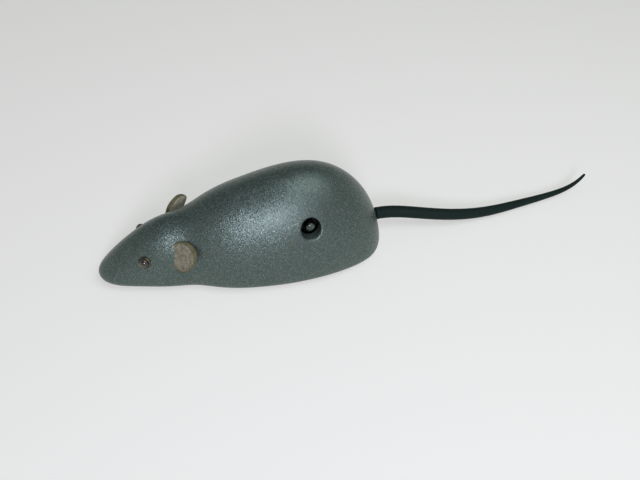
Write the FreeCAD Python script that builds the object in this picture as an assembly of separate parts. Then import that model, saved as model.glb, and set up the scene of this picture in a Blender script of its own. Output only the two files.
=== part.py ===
import FreeCAD, Part
import math
import os

os.makedirs("parts", exist_ok=True)
V = FreeCAD.Vector

# A clockwork mouse: a pressed metal body over a small spring motor that drives two wheels.
# Sizes are in millimetres. X runs from the nose to the tail, Z is up, -Y is the mouse's left.
# The origin is on the floor, under the middle of the whole length.

# Whole mouse
overall_length = 144.4
running_clearance = 0.04
seat_clearance = 0.05
cut_overrun = 1.0

# Body shell
body_length = 74.3
body_width = 30.6
body_height = 27.2
widest_level = 3.2
rim_level = 1.4
rim_tuck = 1.2
shell_wall = 0.6
section_power_share = 1.72
# Each station: share of the body's length, of its half width, and of its height over the widest level
station_shares = [
    (0.0, 0.0, 0.0),
    (0.012, 0.17, 0.085),
    (0.04, 0.285, 0.18),
    (0.08, 0.37, 0.30),
    (0.13, 0.44, 0.425),
    (0.19, 0.52, 0.545),
    (0.25, 0.58, 0.613),
    (0.31, 0.635, 0.652),
    (0.37, 0.747, 0.744),
    (0.44, 0.863, 0.84),
    (0.52, 0.94, 0.91),
    (0.60, 0.987, 0.966),
    (0.68, 1.0, 0.999),
    (0.76, 0.982, 0.978),
    (0.83, 0.937, 0.887),
    (0.89, 0.866, 0.735),
    (0.94, 0.752, 0.54),
    (0.98, 0.52, 0.295),
    (1.0, 0.0, 0.0),
]
# Each level of the tucked-in rim: share of the tuck, share of the drop from the widest level
rim_tuck_shares = [(0.2, 0.6), (1.0, 1.0)]
outside_rows = 28
outside_arch_steps = 16
cavity_rows = 18
cavity_arch_steps = 12
slope_step = 0.002
same_place = 0.000001
rim_tab_thickness = 0.4
rim_tab_width = 4.0
rim_tab_reach = 1.6
rim_tab_shares = (0.24, 0.55, 0.90)

# Winding hole with its turned-in lip, and the arbor behind it
winding_hole_radius = 2.5
winding_lip_wall = 0.6
winding_lip_depth = 1.8
arbor_length_share = 0.705
arbor_height_share = 0.575
key_end_step = 0.2
key_end_gap = 0.2
arbor_tip_inset = 0.3
arbor_tip_round = 0.6
arbor_thin_radius = 0.9
arbor_collar_radius = 2.2
arbor_collar_width = 0.7

# Base plate
base_thickness = 0.5

# Motor frame
frame_plate_thickness = 0.8
frame_plate_margin = 1.4
tie_bar_width = 1.8
tie_bar_thickness = 1.0
tie_tab_width = 1.2
tie_tab_rise = 0.35
tie_bar_gap = 0.3
front_tie_bar_angle = 163.0
foot_front_reach = 11.5
foot_rear_reach = 6.4
foot_width = 3.0
foot_tab_width = 1.8
foot_tab_drop = 0.3
pivot_end = 0.4

# Mainspring
spring_strip_thickness = 0.3
spring_outer_share = 0.95
spring_turns = 3.5
spring_turn_steps = 20
spring_side_gap = 0.4
spring_ratchet_gap = 0.25
spring_arbor_gap = 0.15
spring_hook_gap = 0.1

# Gear train
train_bend_share = 1.2282
pressure_angle = 25.0
addendum_share = 0.8
dedendum_share = 1.05
gear_backlash = 0.08
great_teeth = 30
second_teeth = 24
pinion_teeth = 10
gear_thickness = 0.8
pinion_thickness = 1.2
great_wheel_y = 0.0
second_wheel_y = 1.4
gear_side_gap = 0.15
second_arbor_radius = 0.8
second_pivot_radius = 0.5
drive_setback = 3.6

# Winding ratchet with its pawl and pawl spring
ratchet_teeth = 12
# Shares of the great wheel's pitch radius, and places from the winding arbor as such shares
arbor_share = 0.25
ratchet_tip_share = 0.483
ratchet_root_share = 0.375
pawl_pivot_shares = (-0.533, 0.558)
click_end_shares = (-0.383, 0.667)
click_foot_shares = (0.417, 0.717)
ratchet_thickness = 0.8
pawl_boss_radius = 0.75
pawl_stud_radius = 0.4
pawl_tip_gap = 0.06
pawl_tip_height = 0.55
click_spring_thickness = 0.2
click_spring_width = 0.6
click_foot_size = 0.9

# Drive wheels
drive_wheel_radius = 5.5
drive_wheel_width = 3.0
wheel_rim_gap = 0.85
wheel_boss_length = 2.0
drive_boss_radius = 1.9
drive_axle_radius = 0.9
wheel_side_gap = 0.3
wheel_slot_clearance = 0.6
wheel_slot_side_gap = 0.3

# Front roller and its bracket
roller_radius = 3.6
roller_width = 4.4
roller_length_share = 0.205
roller_side_gap = 0.25
front_axle_radius = 0.5
front_axle_end = 0.3
bracket_sheet = 0.5
bracket_half_length = 2.2
bracket_headroom = 0.5
bracket_tab_width = 1.8

# Ears
ear_radius = 3.9
ear_thickness = 1.2
ear_root_depth = 1.6
ear_root_half_width = 2.4
ear_disc_lift = 0.3
ear_length_share = 0.26
ear_level = 10.7
ear_outward = (-0.48, -0.80, 0.36)
ear_forward = (0.855, -0.332, 0.399)
# How far the middle of an ear stands from its slot, and the degrees that its rear and its top turn out
left_ear_stance = (2.2, 4.0, 8.0)
right_ear_stance = (3.2, 18.0, -9.0)

# Eyes
eye_bead_radius = 1.25
eye_bead_rise = 1.2
eye_cup_radius = 1.5
eye_cup_thickness = 0.45
eye_cup_recess = 0.25
eye_shank_width = 0.8
eye_shank_length = 1.6
eye_bead_steps = 2
eye_length_share = 0.164
eye_level = 9.94

# Tail
tail_level = 5.8
tail_plug_radius = 1.9
tail_plug_thickness = 1.0
tail_plug_gap = 0.8
tail_neck_radius = 1.1
tail_collar_radius = 1.72
tail_collar_length = 1.3
# Each point: share of the tail's reach behind the body, sideways place, height over the floor, radius
tail_route = [
    (0.0, 0.0, 5.8, 1.7),
    (0.07, -0.57, 5.62, 1.69),
    (0.14, -1.59, 5.1, 1.67),
    (0.28, -3.39, 3.7, 1.62),
    (0.46, -3.88, 2.2, 1.46),
    (0.64, -2.9, 1.75, 1.16),
    (0.80, -1.81, 1.75, 0.88),
    (0.92, -0.5, 2.65, 0.62),
    (1.0, 1.7, 4.1, 0.38),
]
tail_steps = 12
tail_sides = 12

# Places worked out from the sizes above
nose_x = -overall_length / 2
rump_x = nose_x + body_length
half_width = body_width / 2
crown_height = body_height - widest_level
arbor_x = nose_x + arbor_length_share * body_length
arbor_z = widest_level + arbor_height_share * crown_height
drive_x = arbor_x + drive_setback
drive_z = drive_wheel_radius
base_bottom = rim_level + rim_tab_thickness
base_top = base_bottom + base_thickness
roller_x = nose_x + roller_length_share * body_length
cheek_inner = roller_width / 2 + roller_side_gap
cheek_outer = cheek_inner + bracket_sheet
train_reach = math.hypot(drive_x - arbor_x, drive_z - arbor_z)
train_teeth = (great_teeth + pinion_teeth + second_teeth + pinion_teeth) / 2
gear_module = train_bend_share * train_reach / train_teeth
great_pitch_radius = gear_module * great_teeth / 2
great_tip_radius = great_pitch_radius + addendum_share * gear_module
second_pitch_radius = gear_module * second_teeth / 2
pinion_pitch_radius = gear_module * pinion_teeth / 2
first_centres = great_pitch_radius + pinion_pitch_radius
second_centres = second_pitch_radius + pinion_pitch_radius
second_tip_radius = second_pitch_radius + addendum_share * gear_module
arbor_radius = arbor_share * great_pitch_radius
key_end_radius = arbor_radius - key_end_step
ratchet_tip_radius = ratchet_tip_share * great_pitch_radius
ratchet_root_radius = ratchet_root_share * great_pitch_radius
pawl_pivot_x = arbor_x + pawl_pivot_shares[0] * great_pitch_radius
pawl_pivot_z = arbor_z + pawl_pivot_shares[1] * great_pitch_radius
click_back = great_wheel_y - gear_side_gap
click_front = click_back - ratchet_thickness


def second_arbor_place():
    """Corner of the triangle between the winding arbor and the drive axle, on its rear side."""
    across = drive_x - arbor_x
    down = drive_z - arbor_z
    along = (first_centres ** 2 - second_centres ** 2 + train_reach ** 2) / (2 * train_reach)
    aside = math.sqrt(first_centres ** 2 - along ** 2)
    ux, uz = across / train_reach, down / train_reach
    return arbor_x + along * ux - aside * uz, arbor_z + along * uz + aside * ux


second_x, second_z = second_arbor_place()


# General shapes

def cylinder_y(x, z, y0, y1, radius):
    """Round bar along Y between two levels."""
    return Part.makeCylinder(radius, y1 - y0, V(x, y0, z), V(0, 1, 0))


def tube_y(x, z, y0, y1, outer, inner):
    """Round tube along Y."""
    bore = cylinder_y(x, z, y0 - cut_overrun, y1 + cut_overrun, inner)
    return cylinder_y(x, z, y0, y1, outer).cut(bore)


def block(x0, x1, y0, y1, z0, z1):
    """Rectangular block between its lowest and highest corners."""
    return Part.makeBox(x1 - x0, y1 - y0, z1 - z0, V(x0, y0, z0))


def plate_y(points, y0, thickness):
    """Flat plate with a straight-sided outline in the XZ plane."""
    corners = [V(x, y0, z) for x, z in points]
    face = Part.Face(Part.makePolygon(corners + corners[:1]))
    return face.extrude(V(0, thickness, 0))


def turned_y(profile, x, z):
    """Solid turned about a line along Y. The profile lists radius and Y pairs."""
    corners = [V(x + radius, y, z) for radius, y in profile]
    face = Part.Face(Part.makePolygon(corners + corners[:1]))
    return face.revolve(V(x, 0, z), V(0, 1, 0), 360)


def fused(shapes):
    """One solid of pieces that touch or overlap."""
    return shapes[0].multiFuse(shapes[1:]).removeSplitter()


def mirrored(shape):
    """Copy of a shape on the mouse's other side."""
    return shape.mirror(V(0, 0, 0), V(0, 1, 0))


def framed(shape, place, forward, outward):
    """Moves a shape so that its own Z points outward at a place, and its own X nearly forward."""
    turn = FreeCAD.Rotation(forward, outward.cross(forward), outward, "ZXY")
    moved = shape.copy()
    moved.Placement = FreeCAD.Placement(place, turn).multiply(shape.Placement)
    return moved


# Body form

def smooth_curve(points, parameters):
    """Smooth curve through some points at given parameters."""
    curve = Part.BSplineCurve()
    curve.interpolate(Points=points, Parameters=parameters)
    return curve


station_angles = [math.acos(1 - 2 * share[0]) for share in station_shares]
share_curve = smooth_curve([V(*share) for share in station_shares], station_angles)


def position_at(x):
    """How far along the body a place is: 0 at the nose, half a turn at the rump."""
    return math.acos(1 - 2 * (x - nose_x) / body_length)


def skin_point(position, angle):
    """Point of the body's outside. The angle turns from the right flank over the crown to the left."""
    share = share_curve.value(position)
    bend = 2 / section_power_share
    across = math.copysign(abs(math.cos(angle)) ** bend, math.cos(angle))
    return V(
        nose_x + body_length * (1 - math.cos(position)) / 2,
        half_width * share.y * across,
        widest_level + crown_height * share.z * abs(math.sin(angle)) ** bend,
    )


def skin_normal(position, angle):
    """Outward unit normal of the body's outside."""
    angle = min(max(angle, 2 * slope_step), math.pi - 2 * slope_step)
    around = skin_point(position, angle + slope_step) - skin_point(position, angle - slope_step)
    lengthwise = skin_point(position + slope_step, angle) - skin_point(position - slope_step, angle)
    return around.cross(lengthwise).normalize()


def flank_point(position, side, inset, level):
    """Point of the body's outline seen from above, drawn in and set at a level."""
    if position in (0, math.pi):
        return V((nose_x + rump_x) / 2 - (body_length / 2 - inset) * math.cos(position), 0, level)
    outward = skin_normal(position, 0)
    outward.z = 0
    point = skin_point(position, 0) - outward.normalize() * inset
    return V(point.x, side * point.y, level)


def body_row(position, depth, arch_steps, rim_levels):
    """Closed row of points round the body: over the crown, down the left rim and up the right one."""
    row = [flank_point(position, 1, depth, widest_level)]
    for step in range(1, arch_steps):
        angle = math.pi * step / arch_steps
        if position in (0, math.pi):
            row.append(row[0])
        else:
            row.append(skin_point(position, angle) - skin_normal(position, angle) * depth)
    row.append(flank_point(position, -1, depth, widest_level))
    row += [flank_point(position, -1, inset, level) for inset, level in rim_levels]
    row += [flank_point(position, 1, inset, level) for inset, level in reversed(rim_levels)]
    return row


def solid_through(rows):
    """Solid with flat facets between closed rows of points, of which the end ones enclose nothing."""
    facets = []
    for ahead, after in zip(rows, rows[1:]):
        for place in range(len(ahead)):
            first, second = ahead[place - 1], ahead[place]
            third, fourth = after[place], after[place - 1]
            for a, b, c in ((first, second, third), (first, third, fourth)):
                if a.isEqual(b, same_place) or b.isEqual(c, same_place) or c.isEqual(a, same_place):
                    continue
                facets.append(Part.Face(Part.makePolygon([a, b, c, a])))
    skin = Part.makeShell(facets)
    skin.sewShape()
    solid = Part.Solid(skin.Shells[0] if skin.Shells else skin)
    if solid.Volume < 0:
        solid.reverse()
    return solid


def body_form(depth, row_steps, arch_steps, rim_levels):
    """The body's form, drawn in by a depth over the widest level."""
    positions = [0] + [math.pi * step / row_steps for step in range(1, row_steps)] + [math.pi]
    return solid_through([body_row(position, depth, arch_steps, rim_levels) for position in positions])


def left_flank(x, z):
    """Point and outward normal of the body's left side at a place along and up it."""
    position = position_at(x)
    top = crown_height * share_curve.value(position).z
    angle = math.pi - math.asin(((z - widest_level) / top) ** (section_power_share / 2))
    return skin_point(position, angle), skin_normal(position, angle)


hem_inset = rim_tuck + shell_wall
rim_drop = widest_level - rim_level
outer_body = body_form(0, outside_rows, outside_arch_steps, [
    (rim_tuck * tuck_share, widest_level - rim_drop * drop_share)
    for tuck_share, drop_share in rim_tuck_shares
])
inner_body = body_form(shell_wall, cavity_rows, cavity_arch_steps, [
    (hem_inset, widest_level), (hem_inset, rim_level - cut_overrun),
])
hole_place, hole_normal = left_flank(arbor_x, arbor_z)
wheel_outer_y = skin_point(position_at(drive_x), 0).y - hem_inset - wheel_rim_gap
wheel_inner_y = wheel_outer_y - drive_wheel_width
plate_outer_y = wheel_inner_y - wheel_boss_length
plate_inner_y = plate_outer_y - frame_plate_thickness


def behind(place, normal):
    """Large block that fills everything behind a plane."""
    size = overall_length
    filler = Part.makeBox(size, size, size, V(-size / 2, -size / 2, -size))
    filler.Placement = FreeCAD.Placement(place, FreeCAD.Rotation(V(0, 0, 1), normal))
    return filler


def winding_lip():
    """Bar that keeps a turned-in lip standing round the winding hole."""
    radius = winding_hole_radius + winding_lip_wall
    bar = cylinder_y(arbor_x, arbor_z, -half_width - cut_overrun, -plate_outer_y, radius)
    depth = shell_wall + winding_lip_depth
    return bar.cut(behind(hole_place - hole_normal * depth, hole_normal))


def rim_tabs():
    """Blocks that keep the rim's fold-over tabs standing under the base plate."""
    tabs = []
    for share in rim_tab_shares:
        x = nose_x + share * body_length
        rim_y = skin_point(position_at(x), 0).y - hem_inset
        tab = block(
            x - rim_tab_width / 2, x + rim_tab_width / 2,
            rim_y - rim_tab_reach, half_width + cut_overrun,
            rim_level - cut_overrun, base_bottom,
        )
        tabs += [tab, mirrored(tab)]
    return tabs


def ear_plate(reach, grown):
    """Round ear plate with its root, in its own frame, made larger all round by a clearance."""
    back = -ear_thickness - grown
    root = ear_root_depth + grown
    side = ear_root_half_width + grown
    wide = 2 * ear_radius + cut_overrun
    disc = Part.makeCylinder(ear_radius + grown, grown - back, V(reach, ear_disc_lift, back))
    disc = disc.common(block(-root, 2 * wide, -wide, wide, 2 * back, -2 * back))
    tongue = block(-root, reach, ear_disc_lift - side, ear_disc_lift + side, back, grown)
    return fused([disc, tongue])


def ear_at_place(stance, grown):
    """An ear on the left of the head, or the slot that it leaves in the body."""
    reach, rear_turn, top_turn = stance
    across = V(*ear_outward).cross(V(*ear_forward))
    along = across.cross(V(*ear_outward))
    turn = FreeCAD.Rotation(along, -top_turn).multiply(FreeCAD.Rotation(across, -rear_turn))
    place = left_flank(nose_x + ear_length_share * body_length, ear_level)[0]
    return framed(
        ear_plate(reach, grown), place, turn.multVec(V(*ear_forward)), turn.multVec(V(*ear_outward))
    )


def eye_at_place(shape):
    """Moves a piece of the left eye from its own frame to the head."""
    place, normal = left_flank(nose_x + eye_length_share * body_length, eye_level)
    return framed(shape, place, V(1, 0, 0), normal)


def body_shell():
    """Pressed shell with its rim tabs, winding hole, ear slots, eye holes and tail hole."""
    cavity = inner_body.cut([winding_lip()] + rim_tabs())
    shell = outer_body.cut(cavity)
    hole = cylinder_y(
        arbor_x, arbor_z, -half_width - cut_overrun, -plate_outer_y, winding_hole_radius
    )
    left_slot = ear_at_place(left_ear_stance, seat_clearance)
    right_slot = mirrored(ear_at_place(right_ear_stance, seat_clearance))
    eye_hole = eye_at_place(eye_shank(seat_clearance, cut_overrun))
    tail_hole = Part.makeCylinder(
        tail_neck_radius + seat_clearance,
        2 * tail_plug_radius,
        V(rump_x - tail_plug_radius, 0, tail_level),
        V(1, 0, 0),
    )
    return shell.cut([hole, left_slot, right_slot, eye_hole, mirrored(eye_hole), tail_hole])


# Base plate

def slot_half_length(radius):
    """Half length of the slot that a wheel of this radius needs in the base plate."""
    return math.sqrt(radius ** 2 - (radius - base_top) ** 2) + wheel_slot_clearance


def foot_places():
    """Places along X of the motor frame's feet."""
    return [arbor_x - foot_front_reach, drive_x + foot_rear_reach]


def tab_slot(x, width, y0, y1):
    """Slot in the base plate for a tab of a standing plate."""
    reach = width / 2 + seat_clearance
    return block(
        x - reach, x + reach, y0 - seat_clearance, y1 + seat_clearance,
        base_bottom - cut_overrun, base_top + cut_overrun,
    )


def base_plate():
    """Flat plate inside the rim, with slots for the wheels, the roller and the standing tabs."""
    inset = hem_inset + seat_clearance
    positions = [math.pi * step / cavity_rows for step in range(1, cavity_rows)]
    outline = [flank_point(0, 1, inset, base_bottom)]
    outline += [flank_point(position, 1, inset, base_bottom) for position in positions]
    outline += [flank_point(math.pi, 1, inset, base_bottom)]
    outline += [flank_point(position, -1, inset, base_bottom) for position in reversed(positions)]
    plate = Part.Face(Part.makePolygon(outline + outline[:1])).extrude(V(0, 0, base_thickness))
    low, high = base_bottom - cut_overrun, base_top + cut_overrun
    half = slot_half_length(drive_wheel_radius)
    wheel_slot = block(
        drive_x - half, drive_x + half,
        wheel_inner_y - wheel_slot_side_gap, wheel_outer_y + wheel_slot_side_gap,
        low, high,
    )
    half = slot_half_length(roller_radius)
    side = roller_width / 2 + roller_side_gap
    roller_slot = block(roller_x - half, roller_x + half, -side, side, low, high)
    tab_slots = [tab_slot(x, foot_tab_width, plate_inner_y, plate_outer_y) for x in foot_places()]
    tab_slots.append(tab_slot(roller_x, bracket_tab_width, cheek_inner, cheek_outer))
    right_cuts = [wheel_slot] + tab_slots
    return plate.cut(right_cuts + [mirrored(shape) for shape in right_cuts] + [roller_slot])


# Motor frame

def beside_spring(bar_angle, away, across):
    """Place near a tie bar, given its distance from the winding arbor and its offset across that."""
    turn = math.radians(bar_angle)
    return (
        arbor_x + away * math.cos(turn) - across * math.sin(turn),
        arbor_z + away * math.sin(turn) + across * math.cos(turn),
    )


tie_bar_reach = great_tip_radius + tie_bar_gap + tie_bar_thickness / 2


def rear_tie_bar_angle():
    """Direction from the winding arbor in which the rear bar just clears the second wheel."""
    clear = second_tip_radius + tie_bar_gap + math.hypot(tie_bar_width, tie_bar_thickness) / 2
    square = tie_bar_reach ** 2 + first_centres ** 2 - clear ** 2
    apart = math.acos(square / (2 * tie_bar_reach * first_centres))
    return math.degrees(math.atan2(second_z - arbor_z, second_x - arbor_x) + apart)


tie_bar_angles = (front_tie_bar_angle, rear_tie_bar_angle())


def upright_slab(bar_angle, near, far, low, high, y0, y1):
    """Slab along Y near a tie bar, between two distances from the arbor and two offsets across."""
    corners = [(near, low), (far, low), (far, high), (near, high)]
    return plate_y([beside_spring(bar_angle, away, across) for away, across in corners], y0, y1 - y0)


def tie_slab(bar_angle, width, grown, reach):
    """Bar of a tie bar's thickness between the two sides of the frame."""
    half = tie_bar_thickness / 2 + grown
    side = width / 2 + grown
    return upright_slab(
        bar_angle, tie_bar_reach - half, tie_bar_reach + half, -side, side, -reach, reach
    )


def side_plate(side):
    """One plate of the motor frame, with its feet, bearing holes and tie bar slots."""
    upper_front, upper_rear = [beside_spring(angle, tie_bar_reach, 0) for angle in tie_bar_angles]
    front_foot, rear_foot = foot_places()
    around = [(front_foot, drive_z), (rear_foot, drive_z), upper_rear, upper_front]
    corners = [V(x, 0, z) for x, z in around]
    outline = Part.Face(Part.makePolygon(corners + corners[:1])).makeOffset2D(frame_plate_margin)
    plate = outline.extrude(V(0, frame_plate_thickness, 0))
    plate.translate(V(0, plate_inner_y, 0))
    pieces = [plate]
    for x in foot_places():
        pieces.append(block(
            x - foot_width / 2, x + foot_width / 2, plate_inner_y, plate_outer_y, base_top, drive_z
        ))
        pieces.append(block(
            x - foot_tab_width / 2, x + foot_tab_width / 2, plate_inner_y, plate_outer_y,
            base_bottom - foot_tab_drop, drive_z,
        ))
    solid = fused(pieces)
    if side < 0:
        solid = mirrored(solid)
    bearings = [
        (arbor_x, arbor_z, arbor_radius if side < 0 else arbor_thin_radius),
        (second_x, second_z, second_pivot_radius),
        (drive_x, drive_z, drive_axle_radius),
    ]
    low = min(side * plate_inner_y, side * plate_outer_y) - cut_overrun
    high = low + frame_plate_thickness + 2 * cut_overrun
    cuts = [cylinder_y(x, z, low, high, radius + running_clearance) for x, z, radius in bearings]
    cuts += [
        tie_slab(angle, tie_tab_width, seat_clearance, plate_outer_y + cut_overrun)
        for angle in tie_bar_angles
    ]
    return solid.cut(cuts)


def tie_bar(bar_angle):
    """Bar that holds the two plates apart, with a tab through each of them."""
    bar = tie_slab(bar_angle, tie_bar_width, 0, plate_inner_y)
    tabs = tie_slab(bar_angle, tie_tab_width, 0, plate_outer_y + tie_tab_rise)
    return fused([bar, tabs])


# Mainspring

spring_front = -plate_inner_y + spring_side_gap
spring_back = click_front - spring_ratchet_gap
spring_outer_radius = spring_outer_share * great_pitch_radius


def mainspring():
    """Flat spiral strip, whose outer end hooks round the front tie bar."""
    half_strip = spring_strip_thickness / 2
    first = arbor_radius + spring_arbor_gap + half_strip
    last = spring_outer_radius - half_strip
    bar_angle = tie_bar_angles[0]
    near = tie_bar_width / 2 + spring_hook_gap
    far = near + spring_strip_thickness
    end_turn = math.radians(bar_angle) + math.asin((near + half_strip) / last)
    steps = round(spring_turns * spring_turn_steps)
    outside, inside = [], []
    for step in range(steps + 1):
        turn = end_turn - 2 * math.pi * (steps - step) / spring_turn_steps
        radius = first + (last - first) * step / steps
        for line, offset in ((outside, half_strip), (inside, -half_strip)):
            line.append((
                arbor_x + (radius + offset) * math.cos(turn), arbor_z + (radius + offset) * math.sin(turn)
            ))
    coil = plate_y(outside + inside[::-1], spring_front, spring_back - spring_front)
    hook_top = tie_bar_reach + tie_bar_thickness / 2 + spring_hook_gap
    leg = upright_slab(
        bar_angle, last - half_strip, hook_top + spring_strip_thickness, near, far, spring_front, spring_back
    )
    over = upright_slab(
        bar_angle, hook_top, hook_top + spring_strip_thickness, -near, far, spring_front, spring_back
    )
    return fused([coil, leg, over])


# Gears

def tooth_half_angle(radius, teeth):
    """Half angle of an involute tooth at a radius."""
    pitch_radius = gear_module * teeth / 2
    pressure = math.radians(pressure_angle)
    base_radius = pitch_radius * math.cos(pressure)
    local = math.acos(min(1, base_radius / radius))
    half_at_pitch = (math.pi * gear_module / 2 - gear_backlash) / (2 * pitch_radius)
    return half_at_pitch + math.tan(pressure) - pressure - math.tan(local) + local


def gear_blank(x, z, teeth, phase, y0, thickness):
    """Spur gear with involute teeth. The phase is the direction of one tooth, in radians."""
    pitch_radius = gear_module * teeth / 2
    tip_radius = pitch_radius + addendum_share * gear_module
    root_radius = pitch_radius - dedendum_share * gear_module
    flank = [root_radius, pitch_radius, tip_radius]
    points = []
    for tooth in range(teeth):
        middle = phase + 2 * math.pi * tooth / teeth
        for radius in flank:
            turn = middle - tooth_half_angle(radius, teeth)
            points.append((x + radius * math.cos(turn), z + radius * math.sin(turn)))
        for radius in reversed(flank):
            turn = middle + tooth_half_angle(radius, teeth)
            points.append((x + radius * math.cos(turn), z + radius * math.sin(turn)))
    return plate_y(points, y0, thickness)


def bored(solid, x, z, radius):
    """Solid with a round hole along Y right through it."""
    box = solid.BoundBox
    return solid.cut(cylinder_y(x, z, box.YMin - cut_overrun, box.YMax + cut_overrun, radius))


first_direction = math.atan2(second_z - arbor_z, second_x - arbor_x)
second_direction = math.atan2(drive_z - second_z, drive_x - second_x)
half_pinion_tooth = math.pi / pinion_teeth


def great_wheel():
    """Wheel driven by the mainspring, with the pawl's stud."""
    wheel = gear_blank(arbor_x, arbor_z, great_teeth, first_direction, great_wheel_y, gear_thickness)
    wheel = bored(wheel, arbor_x, arbor_z, arbor_radius + running_clearance)
    stud = cylinder_y(pawl_pivot_x, pawl_pivot_z, click_front, great_wheel_y, pawl_stud_radius)
    return fused([wheel, stud])


def second_pinion():
    """Small gear driven by the great wheel."""
    phase = first_direction + math.pi + half_pinion_tooth
    overlap = (pinion_thickness - gear_thickness) / 2
    pinion = gear_blank(
        second_x, second_z, pinion_teeth, phase, great_wheel_y - overlap, pinion_thickness
    )
    return bored(pinion, second_x, second_z, second_arbor_radius)


def second_wheel():
    """Larger wheel on the second arbor."""
    wheel = gear_blank(
        second_x, second_z, second_teeth, second_direction, second_wheel_y, gear_thickness
    )
    return bored(wheel, second_x, second_z, second_arbor_radius)


def second_arbor():
    """Thin shaft between the plates, with a pivot at each end."""
    shoulder = plate_inner_y - gear_side_gap
    end = plate_outer_y + pivot_end
    return turned_y([
        (0, -end), (second_pivot_radius, -end), (second_pivot_radius, -shoulder),
        (second_arbor_radius, -shoulder), (second_arbor_radius, shoulder),
        (second_pivot_radius, shoulder), (second_pivot_radius, end), (0, end),
    ], second_x, second_z)


def drive_pinion():
    """Small gear on the drive axle."""
    phase = second_direction + math.pi + half_pinion_tooth
    overlap = (pinion_thickness - gear_thickness) / 2
    pinion = gear_blank(
        drive_x, drive_z, pinion_teeth, phase, second_wheel_y - overlap, pinion_thickness
    )
    return bored(pinion, drive_x, drive_z, drive_axle_radius)


# Winding arbor, ratchet and pawl

def winding_arbor():
    """Shaft that the key turns, thinner beyond the great wheel."""
    tip = hole_place.y + arbor_tip_inset
    shoulder = -plate_outer_y - key_end_gap
    collar = great_wheel_y + gear_thickness + running_clearance
    collar_end = collar + arbor_collar_width
    end = plate_outer_y + pivot_end
    return turned_y([
        (0, tip), (key_end_radius - arbor_tip_round, tip), (key_end_radius, tip + arbor_tip_round),
        (key_end_radius, shoulder), (arbor_radius, shoulder), (arbor_radius, collar),
        (arbor_collar_radius, collar), (arbor_collar_radius, collar_end),
        (arbor_thin_radius, collar_end), (arbor_thin_radius, end), (0, end),
    ], arbor_x, arbor_z)


def ratchet_wheel():
    """Saw-toothed wheel fixed on the winding arbor."""
    points = []
    for tooth in range(ratchet_teeth):
        turn = math.radians(90) + 2 * math.pi * tooth / ratchet_teeth
        for radius in (ratchet_tip_radius, ratchet_root_radius):
            points.append((arbor_x + radius * math.cos(turn), arbor_z + radius * math.sin(turn)))
    return bored(plate_y(points, click_front, ratchet_thickness), arbor_x, arbor_z, arbor_radius)


def pawl():
    """Arm that lets the ratchet turn one way only."""
    tooth = 2 * math.pi / ratchet_teeth
    tip_x = arbor_x - pawl_tip_gap
    tip_z = arbor_z + ratchet_root_radius + pawl_tip_gap
    clear = ratchet_tip_radius + 2 * pawl_tip_gap
    arm = plate_y([
        (tip_x, tip_z),
        (tip_x, tip_z + pawl_tip_height),
        (pawl_pivot_x, pawl_pivot_z + pawl_boss_radius),
        (pawl_pivot_x, pawl_pivot_z - pawl_boss_radius),
        (arbor_x - clear * math.sin(tooth), arbor_z + clear * math.cos(tooth)),
    ], click_front, ratchet_thickness)
    boss = cylinder_y(pawl_pivot_x, pawl_pivot_z, click_front, click_back, pawl_boss_radius)
    return bored(fused([arm, boss]), pawl_pivot_x, pawl_pivot_z, pawl_stud_radius + running_clearance)


def pawl_spring():
    """Thin strip from its foot on the great wheel to the pawl's shoulder."""
    foot_x, foot_z = [
        start + share * great_pitch_radius for start, share in zip((arbor_x, arbor_z), click_foot_shares)
    ]
    end_x, end_z = [
        start + share * great_pitch_radius for start, share in zip((arbor_x, arbor_z), click_end_shares)
    ]
    y0 = (click_front + click_back - click_spring_width) / 2
    strip = plate_y([
        (end_x, end_z),
        (end_x, end_z + click_spring_thickness),
        (foot_x, foot_z + click_spring_thickness),
        (foot_x, foot_z),
    ], y0, click_spring_width)
    half = click_foot_size / 2
    foot = block(foot_x - half, foot_x + half, click_front, great_wheel_y, foot_z - half, foot_z + half)
    return fused([strip, foot])


# Drive wheels

def drive_wheel():
    """Right wheel: a plain disc with a boss that reaches in to the frame."""
    boss_inner = plate_outer_y + wheel_side_gap
    return turned_y([
        (drive_axle_radius, boss_inner), (drive_boss_radius, boss_inner),
        (drive_boss_radius, wheel_inner_y), (drive_wheel_radius, wheel_inner_y),
        (drive_wheel_radius, wheel_outer_y), (drive_axle_radius, wheel_outer_y),
    ], drive_x, drive_z)


def drive_axle():
    """Straight axle through both plates and both wheels."""
    end = wheel_outer_y + pivot_end
    return cylinder_y(drive_x, drive_z, -end, end, drive_axle_radius)


# Front roller

def roller_bracket():
    """Sheet bent over the roller, whose cheeks end in tabs through the base plate."""
    top = 2 * roller_radius + bracket_headroom
    outline = [
        (cheek_outer, base_top), (cheek_outer, top + bracket_sheet),
        (-cheek_outer, top + bracket_sheet), (-cheek_outer, base_top),
        (-cheek_inner, base_top), (-cheek_inner, top), (cheek_inner, top), (cheek_inner, base_top),
    ]
    corners = [V(roller_x - bracket_half_length, y, z) for y, z in outline]
    sheet = Part.Face(Part.makePolygon(corners + corners[:1])).extrude(V(2 * bracket_half_length, 0, 0))
    tab = block(
        roller_x - bracket_tab_width / 2, roller_x + bracket_tab_width / 2,
        cheek_inner, cheek_outer, base_bottom - foot_tab_drop, roller_radius,
    )
    return bored(fused([sheet, tab, mirrored(tab)]), roller_x, roller_radius, front_axle_radius)


def front_axle():
    """Pin pressed through both cheeks of the bracket."""
    end = cheek_outer + front_axle_end
    return cylinder_y(roller_x, roller_radius, -end, end, front_axle_radius)


def front_roller():
    """Roller under the nose."""
    return tube_y(
        roller_x, roller_radius, -roller_width / 2, roller_width / 2,
        roller_radius, front_axle_radius + running_clearance,
    )


# Eyes

def turned_z(profile):
    """Solid turned about the Z axis. The profile lists radius and Z pairs."""
    corners = [V(radius, 0, z) for radius, z in profile]
    face = Part.Face(Part.makePolygon(corners + corners[:1]))
    return face.revolve(V(0, 0, 0), V(0, 0, 1), 360)


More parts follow.
